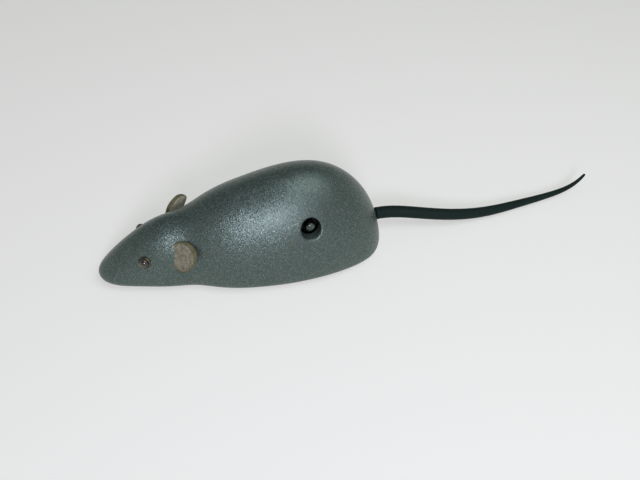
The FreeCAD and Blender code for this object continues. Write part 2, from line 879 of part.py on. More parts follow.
def eye_bead():
    """Left eye's glass bead, flat where it sits in its cup."""
    seat = eye_cup_thickness - eye_cup_recess
    turns = [math.pi / 2 * step / eye_bead_steps for step in range(eye_bead_steps)]
    dome = [(eye_bead_radius * math.cos(turn), seat + eye_bead_rise * math.sin(turn)) for turn in turns]
    return turned_z([(0, seat)] + dome + [(0, seat + eye_bead_rise)])


def eye_shank(grown, overrun):
    """Square shank of an eye's cup, or the hole that it needs."""
    reach = eye_shank_width / 2 + grown
    return block(-reach, reach, -reach, reach, -eye_shank_length - overrun, overrun)


def eye_cup():
    """Left eye's metal cup, with a square shank through the body."""
    seat = eye_cup_thickness - eye_cup_recess
    bore = eye_bead_radius + seat_clearance
    cup = turned_z([
        (0, 0), (eye_cup_radius, 0), (eye_cup_radius, eye_cup_thickness),
        (bore, eye_cup_thickness), (bore, seat), (0, seat),
    ])
    return fused([cup, eye_shank(0, 0)])


# Tail

def ring_points(centre, direction, radius):
    """Points round a line, as a row that solid_through takes."""
    turn = FreeCAD.Rotation(V(1, 0, 0), direction)
    angles = [2 * math.pi * side / tail_sides for side in range(tail_sides)]
    return [
        centre + turn.multVec(V(0, radius * math.cos(angle), radius * math.sin(angle)))
        for angle in angles
    ]


def tail():
    """Tapered rubber tail, with a grooved root that buttons into the body."""
    ahead = V(1, 0, 0)
    neck_x = rump_x - shell_wall - tail_plug_gap
    plug_x = neck_x - tail_plug_thickness
    collar_x = rump_x + seat_clearance
    root = [
        (plug_x, 0), (plug_x, tail_plug_radius), (neck_x, tail_plug_radius), (neck_x, tail_neck_radius),
        (collar_x, tail_neck_radius), (collar_x, tail_collar_radius),
        (collar_x + tail_collar_length, tail_collar_radius),
    ]
    rows = [ring_points(V(x, 0, tail_level), ahead, radius) for x, radius in root]
    start_x = collar_x + tail_collar_length
    reach = nose_x + overall_length - start_x
    parameters = [share for share, y, z, radius in tail_route]
    path = smooth_curve(
        [V(start_x + share * reach, y, z) for share, y, z, radius in tail_route], parameters
    )
    girth = smooth_curve([V(share, radius, 0) for share, y, z, radius in tail_route], parameters)
    for step in range(tail_steps + 1):
        share = step / tail_steps
        rows.append(ring_points(path.value(share), path.tangent(share)[0], girth.value(share).y))
    rows.append(ring_points(path.value(1), ahead, 0))
    return solid_through(rows)


# Every piece, under the name of its file
left_eye = eye_at_place(eye_bead())
left_eye_cup = eye_at_place(eye_cup())
right_wheel = drive_wheel()

pieces = {
    "body_shell": body_shell(),
    "base_plate": base_plate(),
    "left_side_plate": side_plate(-1),
    "right_side_plate": side_plate(1),
    "front_tie_bar": tie_bar(tie_bar_angles[0]),
    "rear_tie_bar": tie_bar(tie_bar_angles[1]),
    "mainspring": mainspring(),
    "winding_arbor": winding_arbor(),
    "ratchet_wheel": ratchet_wheel(),
    "great_wheel": great_wheel(),
    "pawl": pawl(),
    "pawl_spring": pawl_spring(),
    "second_arbor": second_arbor(),
    "second_pinion": second_pinion(),
    "second_wheel": second_wheel(),
    "drive_axle": drive_axle(),
    "drive_pinion": drive_pinion(),
    "right_wheel": right_wheel,
    "left_wheel": mirrored(right_wheel),
    "roller_bracket": roller_bracket(),
    "front_axle": front_axle(),
    "front_roller": front_roller(),
    "left_ear": ear_at_place(left_ear_stance, 0),
    "right_ear": mirrored(ear_at_place(right_ear_stance, 0)),
    "left_eye_bead": left_eye,
    "right_eye_bead": mirrored(left_eye),
    "left_eye_cup": left_eye_cup,
    "right_eye_cup": mirrored(left_eye_cup),
    "tail": tail(),
}

for name, shape in pieces.items():
    shape.exportStep("parts/" + name + ".step")
    print(name, len(shape.Solids), round(shape.Volume, 2), shape.isValid())
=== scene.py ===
import math

import bpy
import bmesh
import numpy as np
from mathutils import Matrix, Vector


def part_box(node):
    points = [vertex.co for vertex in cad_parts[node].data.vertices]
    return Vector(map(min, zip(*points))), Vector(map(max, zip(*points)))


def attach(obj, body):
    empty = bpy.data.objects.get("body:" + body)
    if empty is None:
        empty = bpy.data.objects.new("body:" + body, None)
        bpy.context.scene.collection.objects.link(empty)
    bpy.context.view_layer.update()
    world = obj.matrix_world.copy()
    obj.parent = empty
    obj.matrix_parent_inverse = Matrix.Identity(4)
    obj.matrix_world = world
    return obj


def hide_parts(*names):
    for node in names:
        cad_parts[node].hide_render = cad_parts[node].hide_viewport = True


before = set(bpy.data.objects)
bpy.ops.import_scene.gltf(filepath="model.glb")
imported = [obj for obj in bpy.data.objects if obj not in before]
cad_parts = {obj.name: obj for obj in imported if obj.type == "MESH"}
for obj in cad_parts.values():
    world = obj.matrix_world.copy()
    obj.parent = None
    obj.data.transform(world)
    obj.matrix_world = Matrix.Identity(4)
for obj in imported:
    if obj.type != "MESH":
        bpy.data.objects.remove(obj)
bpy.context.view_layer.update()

# Looks of the clockwork mouse. Sizes are in metres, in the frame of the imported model.
MM = 0.001

# Body form
widest_level = 3.2 * MM
rim_tuck = 1.2 * MM
shell_wall = 0.6 * MM
hem_width = 0.6 * MM
section_power_share = 1.72
ridge_softness = 0.16
# Each station: share of the body's length, of its half width, and of its height over the widest level
station_shares = [
    (0.0, 0.0, 0.0),
    (0.012, 0.17, 0.085),
    (0.04, 0.285, 0.18),
    (0.08, 0.37, 0.30),
    (0.13, 0.44, 0.425),
    (0.19, 0.52, 0.545),
    (0.25, 0.58, 0.613),
    (0.31, 0.635, 0.652),
    (0.37, 0.747, 0.744),
    (0.44, 0.863, 0.84),
    (0.52, 0.94, 0.91),
    (0.60, 0.987, 0.966),
    (0.68, 1.0, 0.999),
    (0.76, 0.982, 0.978),
    (0.83, 0.937, 0.887),
    (0.89, 0.866, 0.735),
    (0.94, 0.752, 0.54),
    (0.98, 0.52, 0.295),
    (1.0, 0.0, 0.0),
]
# Fineness of the body's mesh, and of the steps in which slopes and the section's bend are read
body_columns = 132
arch_rows = 96
rim_rows = 6
slope_step = 0.002
rounded_steps = 4000

# Winding hole
hole_radius = 2.5 * MM
# The mesh is warped into rings round the hole: grid steps from its middle to its edge, how many times
# as far the warp reaches, and how fast the rings widen
hole_block = 4
hole_reach = 3.0
hole_spread = 0.85
lip_shoulder_radius = 3.0 * MM
lip_depth = 2.4 * MM
lip_roll_steps = 6
lip_levels = (0.8 * MM, 1.2 * MM, 1.7 * MM, lip_depth - 0.1 * MM)
# Each point of the lip's inner end: out from the hole's radius, and back from the lip's depth
lip_end = ((0.08 * MM, 0.0), (0.3 * MM, 0.0), (0.4 * MM, 0.15 * MM), (0.42 * MM, 1.1 * MM))

# Ears
ear_radius = 3.9 * MM
ear_thickness = 1.2 * MM
ear_root_depth = 1.6 * MM
ear_disc_lift = 0.3 * MM
ear_front_round = 0.5 * MM
ear_back_round = 0.15 * MM
ear_cut_share = 0.9
ear_sides = 72
ear_rings = 14
ear_front_steps = 6
ear_back_steps = 3
ear_back_shares = (0.75, 0.5, 0.25, 0.0)
# How far the ear's lower rear edge curls out, and the way to it in degrees round the ear
ear_curl = 1.2 * MM
ear_curl_turn = 68.0
# Each ripple of the ear's outline: share of the radius, count round the edge, and phase
ear_ripples = ((0.018, 3, 0.6), (0.010, 7, 2.0))
# Gentle waves of the ear's faces
ear_wave_height = 0.08 * MM
ear_wave_along = 2.6 * MM
ear_wave_across = 3.1 * MM
ear_wave_phase = 0.5
ear_length_share = 0.26
ear_level = 10.7 * MM
ear_outward = (-0.48, -0.80, 0.36)
ear_forward = (0.855, -0.332, 0.399)
# How far an ear's middle stands from its slot, and the degrees that its rear and its top turn out
left_ear_stance = (2.2 * MM, 4.0, 8.0)
right_ear_stance = (3.2 * MM, 18.0, -9.0)

# Eyes
eye_length_share = 0.164
eye_level = 9.94 * MM
eye_bead_radius = 1.25 * MM
eye_bead_rise = 1.2 * MM
eye_seat = 0.2 * MM
eye_cup_radius = 1.5 * MM
eye_cup_thickness = 0.45 * MM
eye_cup_roll = 0.12 * MM
eye_cup_roll_steps = 8
eye_cup_foot_depth = 0.2 * MM
eye_cup_edge_depth = 0.1 * MM
eye_fine_gap = 0.02 * MM
eye_bead_steps = 14
eye_bead_sides = 40
eye_cup_sides = 48

# Tail
tail_level = 5.8 * MM
tail_collar_radius = 1.72 * MM
tail_collar_length = 1.3 * MM
tail_neck_radius = 1.1 * MM
tail_collar_gap = 0.05 * MM
# Each point of the tail's collar: distance along it, and how far its edge is rounded in
tail_collar_profile = (
    (0.0, 0.15 * MM), (0.05 * MM, 0.05 * MM), (0.15 * MM, 0.0),
    (tail_collar_length - 0.2 * MM, 0.0), (tail_collar_length - 0.06 * MM, 0.06 * MM),
)
# Each point: share of the tail's reach behind the body, then in mm its sideways place, its height over
# the floor and its radius
tail_route = [
    (0.0, 0.0, 5.8, 1.7),
    (0.07, -0.57, 5.62, 1.69),
    (0.14, -1.59, 5.1, 1.67),
    (0.28, -3.39, 3.7, 1.62),
    (0.46, -3.88, 2.2, 1.46),
    (0.64, -2.9, 1.75, 1.16),
    (0.80, -1.81, 1.75, 0.88),
    (0.92, -0.5, 2.65, 0.62),
    (1.0, 1.7, 4.1, 0.38),
]
tail_steps = 110
tail_sides = 24
tail_tip_angles = (30, 60, 90)

# Winding arbor
arbor_key_radius = 1.3 * MM
arbor_shaft_radius = 1.5 * MM
arbor_collar_radius = 2.2 * MM
arbor_thin_radius = 0.9 * MM
arbor_shoulder_y = -7.61 * MM
arbor_collar_start_y = 0.84 * MM
arbor_collar_end_y = 1.54 * MM
arbor_dome_share = 0.62
arbor_dome_steps = 12
arbor_sides = 48

# Drive wheels
wheel_width = 3.0 * MM
wheel_bore = 0.9 * MM
wheel_boss_radius = 1.9 * MM
wheel_boss_edge = 0.2 * MM
wheel_boss_flare = 0.3 * MM
wheel_boss_rise = 0.1 * MM
wheel_edge = 0.45 * MM
wheel_dish_depth = 0.5 * MM
wheel_back_dish_depth = 0.3 * MM
# How far inside the tread the wheel's dish starts, and how far inside it is at its full depth
wheel_dish_start = 1.2 * MM
wheel_dish_full = 1.6 * MM
wheel_sides = 72

# Front roller
roller_bore = 0.54 * MM
roller_edge = 0.4 * MM
roller_groove_half_width = 0.5 * MM
roller_groove_half_floor = 0.3 * MM
roller_groove_depth = 0.15 * MM
roller_sides = 60

# Rounded edges of wheels and roller
edge_steps = 5

# Mesh repair and shading
weld_distance = 0.002 * MM
floor_weld_distance = 1.0 * MM
sharp_angle = 42.0

# Floor, with a sweep up into a wall
floor_ring_radius = 1.0
floor_radius = 1.8
floor_sweep = 0.7
floor_wall_height = 1.4
floor_sides = 96
floor_sweep_steps = 16
floor_glow = 0.5

# Lights: place, target, size in metres, watts and tint
key_light = ((-0.078, -0.314, 0.192), (-0.03, 0.0, 0.012), 0.10, 0.54, (1.0, 0.97, 1.16))
fill_light = ((0.10, -0.12, 0.33), (0.0, 0.0, 0.012), 0.26, 0.42, (0.92, 0.97, 1.0))
world_colour = (0.80, 0.83, 0.86, 1.0)
world_strength = 0.24

# Camera, whose roll is in degrees and whose lens and sensor are in mm
camera_place = (-0.04606, -0.09607, 0.11404)
camera_forward = (0.2116, 0.6263, -0.7503)
camera_roll = -3.35
camera_lens = 30.55
camera_sensor_width = 36.0
camera_clip_start = 0.005

# Places from the frame
body_low, body_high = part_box("body_shell")
arbor_low, arbor_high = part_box("winding_arbor")
wheel_low, wheel_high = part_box("right_wheel")
roller_low, roller_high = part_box("front_roller")
tail_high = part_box("tail")[1]
nose_x = body_low.x
body_length = body_high.x - body_low.x
half_width = body_high.y
rim_level = body_low.z
crown_height = body_high.z - widest_level
arbor_x = (arbor_low.x + arbor_high.x) / 2
arbor_z = (arbor_low.z + arbor_high.z) / 2


# Curves

def spline(knots, values, at):
    """Smooth curve through some values, with the end slopes of a cubic through four of them."""
    knots, values, at = np.asarray(knots, float), np.asarray(values, float), np.asarray(at, float)
    count = len(knots)
    gaps = np.diff(knots)
    rises = np.diff(values) / gaps
    weights = np.zeros((count, count))
    sums = np.zeros(count)
    for place, ends in ((0, slice(0, 4)), (count - 1, slice(count - 4, count))):
        cubic = np.polyfit(knots[ends] - knots[place], values[ends], 3)
        weights[place, place] = 1
        sums[place] = cubic[2]
    for place in range(1, count - 1):
        before, after = gaps[place - 1], gaps[place]
        weights[place, place - 1:place + 2] = after, 2 * (before + after), before
        sums[place] = 3 * (rises[place - 1] * after + rises[place] * before)
    slopes = np.linalg.solve(weights, sums)
    piece = np.clip(np.searchsorted(knots, at, side="right") - 1, 0, count - 2)
    gap = gaps[piece]
    along = (at - knots[piece]) / gap
    left = (values[piece] * (1 + 2 * along) + gap * slopes[piece] * along) * (1 - along) ** 2
    right = (values[piece + 1] * (3 - 2 * along) - gap * slopes[piece + 1] * (1 - along)) * along ** 2
    return left + right


station_turns = np.arccos([1 - 2 * share[0] for share in station_shares])


def width_share(turn):
    """Half width of the body at a turn, as a share of its widest."""
    return spline(station_turns, [share[1] for share in station_shares], turn)


def height_share(turn):
    """Height of the body over its widest level at a turn, as a share of its highest."""
    return spline(station_turns, [share[2] for share in station_shares], turn)


def rounded(value):
    """Bends a sine or cosine so that the section is drawn out a little, without an edge."""
    soft = ridge_softness ** 2
    bend = 1 / section_power_share - 0.5
    return value * ((value ** 2 + soft) / (1 + soft)) ** bend


def turn_at(x):
    """How far along the body a place is: 0 at the nose, half a turn at the rump."""
    return np.arccos(np.clip(1 - 2 * (x - nose_x) / body_length, -1, 1))


def skin_point(turn, angle):
    """Points of the body's outside. The angle turns from the right flank over the crown to the left."""
    turn, angle = np.broadcast_arrays(turn, angle)
    return np.stack([
        nose_x + body_length * (1 - np.cos(turn)) / 2,
        half_width * width_share(turn) * rounded(np.cos(angle)),
        widest_level + crown_height * height_share(turn) * rounded(np.sin(angle)),
    ], axis=-1)


def skin_normal(turn, angle):
    """Outward unit normals of the body's outside."""
    turn = np.clip(turn, slope_step * 2, math.pi - slope_step * 2)
    around = skin_point(turn, angle + slope_step) - skin_point(turn, angle - slope_step)
    lengthwise = skin_point(turn + slope_step, angle) - skin_point(turn - slope_step, angle)
    normal = np.cross(around, lengthwise)
    return normal / np.linalg.norm(normal, axis=-1, keepdims=True)


rounded_table = np.linspace(0, 1, rounded_steps + 1)


def left_place(x, z):
    """Turn and angle of the places on the left flank that have a given x and z."""
    turn = turn_at(x)
    share = np.clip((z - widest_level) / (crown_height * height_share(turn)), 0, 1)
    sine = np.interp(share, rounded(rounded_table), rounded_table)
    return turn, math.pi - np.arcsin(sine)


def left_flank(x, z):
    """Point and outward normal of the body's left side."""
    turn, angle = left_place(np.float64(x), np.float64(z))
    return Vector(skin_point(turn, angle)), Vector(skin_normal(turn, angle))


def smooth_step(value):
    """Rises smoothly from 0 to 1 as the value does."""
    value = np.clip(value, 0, 1)
    return value * value * (3 - 2 * value)


# Meshes

def smooth_object(name, points, faces, weld):
    """A smooth-shaded mesh object whose points are joined where they meet."""
    mesh = bpy.data.meshes.new(name)
    mesh.from_pydata([tuple(point) for point in points], [], faces)
    work = bmesh.new()
    work.from_mesh(mesh)
    bmesh.ops.remove_doubles(work, verts=work.verts, dist=weld)
    bmesh.ops.recalc_face_normals(work, faces=work.faces)
    work.to_mesh(mesh)
    work.free()
    for polygon in mesh.polygons:
        polygon.use_smooth = True
    made = bpy.data.objects.new(name, mesh)
    bpy.context.scene.collection.objects.link(made)
    return made


def new_object(name, points, faces, body, slot_name, node):
    """A smooth piece with sharp creases, which rides on a CAD body and stands for one of its nodes."""
    piece = smooth_object(name, points, faces, weld_distance)
    piece.data.set_sharp_from_angle(angle=math.radians(sharp_angle))
    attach(piece, body)
    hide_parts(node)
    return piece


def ring_faces(rings, sides):
    """Faces between rings of points, each ring with the same count of sides."""
    faces = []
    for ring in range(rings - 1):
        for side in range(sides):
            a, b = ring * sides + side, ring * sides + (side + 1) % sides
            faces.append((a, b, b + sides, a + sides))
    return faces


def turned(profile, sides, origin, axis, across):
    """Points and faces of a profile of radius and height pairs, turned about an axis."""
    axis, across = Vector(axis).normalized(), Vector(across)
    across = (across - axis * across.dot(axis)).normalized()
    third = axis.cross(across)
    points = []
    for radius, height in profile:
        for side in range(sides):
            angle = 2 * math.pi * side / sides
            offset = across * math.cos(angle) + third * math.sin(angle)
            points.append(Vector(origin) + axis * height + offset * radius)
    return points, ring_faces(len(profile), sides)


def arc(centre, radius, start, end, steps):
    """Profile points on an arc between two angles in degrees."""
    angles = [math.radians(start + (end - start) * step / steps) for step in range(steps + 1)]
    return [(centre[0] + radius * math.cos(a), centre[1] + radius * math.sin(a)) for a in angles]


# Body

def rim_points(turns, side):
    """Rows of points from the widest level down the tucked rim to the hem, on one side."""
    outline = skin_point(turns, 0 if side > 0 else math.pi)
    normal = skin_normal(turns, 0 if side > 0 else math.pi)
    normal[:, 2] = 0
    normal /= np.linalg.norm(normal, axis=-1, keepdims=True)
    normal[0], normal[-1] = (-1, 0, 0), (1, 0, 0)
    outline[0], outline[-1] = (nose_x, 0, widest_level), (nose_x + body_length, 0, widest_level)
    drop = widest_level - rim_level
    steps = [math.pi / 2 * step / rim_rows for step in range(1, rim_rows + 1)]
    levels = [(rim_tuck * (1 - math.cos(step)), widest_level - drop * math.sin(step)) for step in steps]
    levels.append((rim_tuck + hem_width, rim_level))
    levels.append((rim_tuck + hem_width, rim_level + shell_wall))
    rows = []
    for inset, level in levels:
        row = outline - normal * inset
        row[:, 2] = level
        row[[0, -1], 1] = 0
        rows.append(row)
    return rows


def arch_points(turns, depth):
    """Rows of points over the crown, warped round the winding hole, and drawn in by a depth."""
    angles = np.linspace(0, math.pi, arch_rows + 1)
    hole_turn, hole_angle = left_place(np.float64(arbor_x), np.float64(arbor_z))
    hole_column = round(float(hole_turn) / math.pi * body_columns)
    hole_row = round(float(hole_angle) / math.pi * arch_rows)
    turn, angle = np.meshgrid(turns, angles)
    column, row = np.meshgrid(np.arange(body_columns + 1), np.arange(arch_rows + 1))
    across, up = (column - hole_column) / hole_block, (hole_row - row) / hole_block
    away = np.maximum(np.abs(across), np.abs(up))
    near = (away > 0) & (away < hole_reach)
    point = skin_point(turn, angle)
    length = np.hypot(across, up)[near]
    radius = lip_shoulder_radius * (1 + (away[near] - 1) * hole_spread)
    weight = smooth_step((hole_reach - away[near]) / (hole_reach - 1))
    x = point[..., 0][near] * (1 - weight) + (arbor_x + radius * across[near] / length) * weight
    z = point[..., 2][near] * (1 - weight) + (arbor_z + radius * up[near] / length) * weight
    turn[near], angle[near] = left_place(x, z)
    points = skin_point(turn, angle) - skin_normal(turn, angle) * depth
    if depth:
        points[..., 0] = np.clip(points[..., 0], nose_x + depth, nose_x + body_length - depth)
    points[:, [0, -1]] = [
        (nose_x + depth, 0, widest_level), (nose_x + body_length - depth, 0, widest_level)
    ]
    return list(points), (hole_column, hole_row)


def lip_rings(column, row):
    """Indices round the hole's block in the grid, and the rings of the lip's turned-in profile."""
    reach = hole_block
    ring = [(column + step, row - reach) for step in range(-reach, reach)]
    ring += [(column + reach, row + step) for step in range(-reach, reach)]
    ring += [(column - step, row + reach) for step in range(-reach, reach)]
    ring += [(column - reach, row - step) for step in range(-reach, reach)]
    roll = lip_shoulder_radius - hole_radius
    profile = arc((lip_shoulder_radius, roll), roll, 270, 180, lip_roll_steps)[1:]
    profile += [(hole_radius, depth) for depth in lip_levels]
    profile += [(hole_radius + out, lip_depth - back) for out, back in lip_end]
    rings = []
    for radius, depth in profile:
        points = []
        for at_column, at_row in ring:
            angle = math.atan2(row - at_row, at_column - column)
            x, z = arbor_x + radius * math.cos(angle), arbor_z + radius * math.sin(angle)
            points.append(left_flank(x, z)[0] + Vector((0, depth, 0)))
        rings.append(points)
    return ring, rings


def build_body():
    """Pressed skin with a tucked rim, a hem and the winding hole's turned-in lip."""
    turns = np.linspace(0, math.pi, body_columns + 1)
    outer, (hole_column, hole_row) = arch_points(turns, 0)
    inner = arch_points(turns, shell_wall)[0]
    right_rim, left_rim = rim_points(turns, 1), rim_points(turns, -1)
    rows = right_rim[::-1] + outer + left_rim + inner[::-1]
    outer_start = len(right_rim)
    inner_end = len(rows) - 1
    hole_rows = (outer_start + hole_row, inner_end - hole_row)
    columns = body_columns + 1
    points = [Vector(point) for row in rows for point in row]
    faces = []
    for row in range(len(rows)):
        after = (row + 1) % len(rows)
        in_rows = any(abs(row + 0.5 - middle) < hole_block for middle in hole_rows)
        for column in range(body_columns):
            if not (in_rows and abs(column + 0.5 - hole_column) < hole_block):
                a, b = row * columns + column, after * columns + column
                faces.append((a, a + 1, b + 1, b))
    ring, rings = lip_rings(hole_column, hole_row)
    first = [(outer_start + row) * columns + column for column, row in ring]
    last = [(inner_end - row) * columns + column for column, row in ring]
    loops = [first]
    for ring_points in rings:
        loops.append(list(range(len(points), len(points) + len(ring_points))))
        points += ring_points
    loops.append(last)
    for before, after in zip(loops, loops[1:]):
        for place in range(len(before)):
            faces.append((before[place - 1], before[place], after[place], after[place - 1]))
    faces = [face for face in faces if len(set(face)) > 2]
    return new_object("body_skin", points, faces, "chassis", "body_paint", "body_shell")


# Ears

def ear_axes(rear_turn, top_turn):
    """Axes of an ear on the left of the head: along, across, and outward."""
    outward = Vector(ear_outward).normalized()
    across = outward.cross(Vector(ear_forward)).normalized()
    along = across.cross(outward)
    turn = Matrix.Rotation(math.radians(-top_turn), 3, along)
    turn = turn @ Matrix.Rotation(math.radians(-rear_turn), 3, across)
    return turn @ along, turn @ across, turn @ outward


def build_ear(name, stance, mirror):
    """Round leather ear with a soft face and a cut edge, whose root goes into the head."""
    origin = left_flank(nose_x + ear_length_share * body_length, ear_level)[0]
    reach, rear_turn, top_turn = stance
    axes = ear_axes(rear_turn, top_turn)
    back = -ear_thickness
    flat = ear_radius - ear_front_round
    section = [(flat * step / ear_rings, 0) for step in range(ear_rings)]
    section += arc((flat, -ear_front_round), ear_front_round, 90, 0, ear_front_steps)
    back_centre = (ear_radius - ear_back_round, ear_back_round + back)
    section += arc(back_centre, ear_back_round, 0, -90, ear_back_steps)
    section += [(ear_radius * share, back) for share in ear_back_shares]
    curl_turn = math.radians(ear_curl_turn)
    points = []
    for radius, height in section:
        for side in range(ear_sides):
            angle = 2 * math.pi * side / ear_sides
            ripples = [share * math.sin(count * angle + phase) for share, count, phase in ear_ripples]
            rippled = radius * (1 + sum(ripples))
            u = max(reach + rippled * math.cos(angle), -ear_root_depth)
            v = ear_disc_lift + rippled * math.sin(angle)
            wave = math.sin(u / ear_wave_along + ear_wave_phase) * math.cos(v / ear_wave_across)
            outer = (u - reach) * math.cos(curl_turn) - v * math.sin(curl_turn)
            lift = ear_wave_height * wave + ear_curl * (max(outer, 0.0) / ear_radius) ** 2
            point = origin + axes[0] * u + axes[1] * v + axes[2] * (height + lift)
            points.append(Vector((point.x, -point.y if mirror else point.y, point.z)))
    faces = ring_faces(len(section), ear_sides)
    ear = new_object(name + "_leather", points, faces, "chassis", "ear_leather", name)
    for polygon in ear.data.polygons:
        place, facing = Vector(polygon.center), Vector(polygon.normal)
        if mirror:
            place.y, facing.y = -place.y, -facing.y
        u, v = (place - origin).dot(axes[0]) - reach, (place - origin).dot(axes[1]) - ear_disc_lift
        if math.hypot(u, v) > ear_radius - ear_front_round * ear_cut_share:
            polygon.material_index = 1
        # Back faces take the much lighter leather: painted light on the back of the far ear, which lies
        # in the head's shade
        elif facing.dot(axes[2]) < 0:
            polygon.material_index = 2
    return ear


# Eyes

def mirrored(points):
    """The same points on the mouse's other side."""
    return [Vector((point.x, -point.y, point.z)) for point in points]


def build_eye(side_name, mirror):
    """Glass bead in a rolled brassy cup."""
    place, normal = left_flank(nose_x + eye_length_share * body_length, eye_level)
    bead = [(0, eye_seat)]
    for step in range(eye_bead_steps + 1):
        angle = math.pi / 2 * step / eye_bead_steps
        bead.append((eye_bead_radius * math.cos(angle), eye_seat + eye_bead_rise * math.sin(angle)))
    edge = eye_cup_radius - eye_cup_roll
    cup = [(0, eye_fine_gap), (edge, -eye_cup_foot_depth), (eye_cup_radius, -eye_cup_edge_depth)]
    cup += arc((edge, eye_cup_thickness - eye_cup_roll), eye_cup_roll, 0, 180, eye_cup_roll_steps)
    cup += [(eye_bead_radius + eye_fine_gap, eye_seat), (0, eye_seat - eye_fine_gap)]
    for profile, sides, kind, slot_name in (
        (bead, eye_bead_sides, "bead", "eye_glass"), (cup, eye_cup_sides, "cup", "eye_brass"),
    ):
        points, faces = turned(profile, sides, place, normal, (1, 0, 0))
        if mirror:
            points = mirrored(points)
        name = side_name + "_eye_" + kind
        yield kind, new_object(name + "_fine", points, faces, "chassis", slot_name, name)


# Tail

def build_tail():
    """Tapered rubber tail with a stepped root."""
    rump_x = nose_x + body_length
    start_x = rump_x + tail_collar_gap + tail_collar_length
    reach = tail_high.x - start_x
    shares = [point[0] for point in tail_route]
    at = np.linspace(0, 1, tail_steps + 1)
    route = np.stack([
        start_x + at * reach,
        spline(shares, [point[1] * MM for point in tail_route], at),
        spline(shares, [point[2] * MM for point in tail_route], at),
    ], axis=-1)
    girth = spline(shares, [point[3] * MM for point in tail_route], at)
    collar_x = rump_x + tail_collar_gap
    root = [(rump_x - shell_wall, tail_neck_radius), (collar_x, tail_neck_radius)]
    root += [(collar_x + along, tail_collar_radius - inset) for along, inset in tail_collar_profile]
    rows = [(Vector((x, 0, tail_level)), radius, Vector((1, 0, 0))) for x, radius in root]
    tangents = np.gradient(route, axis=0)
    for place, radius, tangent in zip(route, girth, tangents):
        rows.append((Vector(place), radius, Vector(tangent).normalized()))
    tip, radius, tangent = rows.pop()
    rows.append((tip - tangent * radius, radius, tangent))
    for angle in tail_tip_angles:
        turn = math.radians(angle)
        back = tangent * (radius * (math.sin(turn) - 1))
        rows.append((tip + back, max(radius * math.cos(turn), 0.0), tangent))
    points = []
    for centre, radius, tangent in rows:
        across = Vector((0, 0, 1)).cross(tangent).normalized()
        up = tangent.cross(across)
        for side in range(tail_sides):
            angle = 2 * math.pi * side / tail_sides
            points.append(centre + (across * math.cos(angle) + up * math.sin(angle)) * radius)
    faces = ring_faces(len(rows), tail_sides)
    return new_object("tail_rubber", points, faces, "chassis", "tail_rubber", "tail")


# Arbor, wheels and roller

def build_arbor():
    """Winding arbor with a rounded, polished key end."""
    tip_y, end_y = arbor_low.y, arbor_high.y
    shoulder, end = arbor_shoulder_y - tip_y, end_y - tip_y
    collar_start, collar_end = arbor_collar_start_y - tip_y, arbor_collar_end_y - tip_y
    dome = arbor_key_radius * arbor_dome_share
    profile = []
    for step in range(arbor_dome_steps + 1):
        angle = math.pi / 2 * step / arbor_dome_steps
        profile.append((arbor_key_radius * math.sin(angle), dome * (1 - math.cos(angle))))
    profile += [
        (arbor_key_radius, shoulder), (arbor_shaft_radius, shoulder),
        (arbor_shaft_radius, collar_start), (arbor_collar_radius, collar_start),
        (arbor_collar_radius, collar_end), (arbor_thin_radius, collar_end),
        (arbor_thin_radius, end), (0, end),
    ]
    points, faces = turned(profile, arbor_sides, (arbor_x, tip_y, arbor_z), (0, 1, 0), (1, 0, 0))
    return new_object(
        "winding_arbor_fine", points, faces, "winding_arbor", "polished_steel", "winding_arbor"
    )


def build_wheel(side_name, mirror):
    """Moulded wheel with a rounded tread, a dished outer face and a boss."""
    centre = (wheel_low + wheel_high) / 2
    radius = (wheel_high.z - wheel_low.z) / 2
    boss_end, outer = wheel_low.y, wheel_high.y
    inner = outer - wheel_width
    dish_start, dish_full = radius - wheel_dish_start, radius - wheel_dish_full
    profile = [
        (wheel_bore, boss_end), (wheel_boss_radius - wheel_boss_edge, boss_end),
        (wheel_boss_radius, boss_end + wheel_boss_edge), (wheel_boss_radius, inner),
        (dish_full, inner + wheel_back_dish_depth), (dish_start, inner),
    ]
    profile += arc((radius - wheel_edge, inner + wheel_edge), wheel_edge, 270, 360, edge_steps)
    profile += arc((radius - wheel_edge, outer - wheel_edge), wheel_edge, 0, 90, edge_steps)
    profile += [
        (dish_start, outer), (dish_full, outer - wheel_dish_depth),
        (wheel_boss_radius + wheel_boss_flare, outer - wheel_dish_depth),
        (wheel_boss_radius, outer - wheel_boss_rise), (wheel_bore, outer),
    ]
    points, faces = turned(profile, wheel_sides, (centre.x, 0, centre.z), (0, 1, 0), (1, 0, 0))
    if mirror:
        points = mirrored(points)
    name = side_name + "_wheel"
    return new_object(name + "_fine", points, faces, "drive_axle", "wheel_rubber", name)


def build_roller():
    """Roller with rounded edges and a shallow groove."""
    radius = (roller_high.z - roller_low.z) / 2
    centre = (roller_low + roller_high) / 2
    half = (roller_high.y - roller_low.y) / 2
    corner, groove = radius - roller_edge, radius - roller_groove_depth
    profile = [(roller_bore, -half), (corner, -half)]
    profile += arc((corner, roller_edge - half), roller_edge, 270, 360, edge_steps)
    profile += [(radius, -roller_groove_half_width), (groove, -roller_groove_half_floor)]
    profile += [(groove, roller_groove_half_floor), (radius, roller_groove_half_width)]
    profile += arc((corner, half - roller_edge), roller_edge, 0, 90, edge_steps)
    profile += [(roller_bore, half), (roller_bore, -half)]
    points, faces = turned(profile, roller_sides, centre, (0, 1, 0), (1, 0, 0))
    return new_object(
        "front_roller_fine", points, faces, "front_roller", "wheel_rubber", "front_roller"
    )


# Materials

